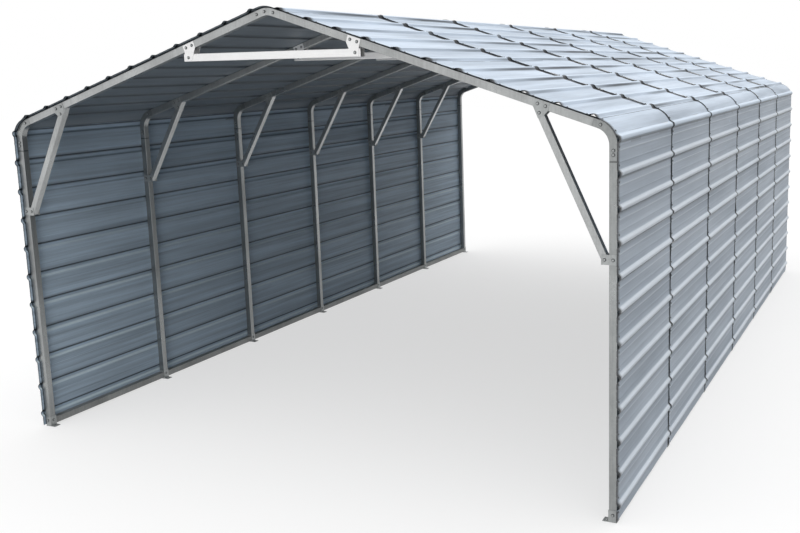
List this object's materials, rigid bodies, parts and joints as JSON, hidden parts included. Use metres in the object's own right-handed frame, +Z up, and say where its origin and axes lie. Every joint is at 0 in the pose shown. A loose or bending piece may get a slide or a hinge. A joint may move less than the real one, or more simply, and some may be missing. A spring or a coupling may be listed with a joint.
{
  "type": "carport",
  "caption": "Open-ended metal carport of bent square-tube frames with knee and peak braces, clad in ribbed galvanized sheets.",
  "frame": {"origin": "on the ground in the middle of the plan", "axes": "+Z up, +Y along the length towards the back, +X to the right seen from the open front"},
  "size_m": [5.5332, 9.264, 3.6837],
  "materials": {
    "frame_tube": "galvanized, satin",
    "bracket_plate": "galvanized, satin",
    "wall_sheet": "galvanized sheet, weathered",
    "roof_sheet": "galvanized sheet, weathered"
  },
  "bodies": {
    "root": {"left_posts": "frame_tube", "right_posts": "frame_tube", "left_eave_bends": "frame_tube", "right_eave_bends": "frame_tube", "left_rafters": "frame_tube", "right_rafters": "frame_tube", "left_knee_braces": "frame_tube", "right_knee_braces": "frame_tube", "peak_braces": "frame_tube", "left_base_rails": "frame_tube", "right_base_rails": "frame_tube", "left_knee_top_plates": "bracket_plate", "right_knee_top_plates": "bracket_plate", "left_knee_foot_plates": "bracket_plate", "right_knee_foot_plates": "bracket_plate", "left_peak_plates": "bracket_plate", "right_peak_plates": "bracket_plate", "left_feet": "bracket_plate", "right_feet": "bracket_plate", "left_lower_wall_sheets": "wall_sheet", "right_lower_wall_sheets": "wall_sheet", "left_upper_wall_sheets": "wall_sheet", "right_upper_wall_sheets": "wall_sheet", "left_eave_sheets": "roof_sheet", "right_eave_sheets": "roof_sheet", "left_lower_roof_sheets": "roof_sheet", "right_lower_roof_sheets": "roof_sheet", "left_upper_roof_sheets": "roof_sheet", "right_upper_roof_sheets": "roof_sheet", "ridge_caps": "roof_sheet"}
  },
  "joints": []
}
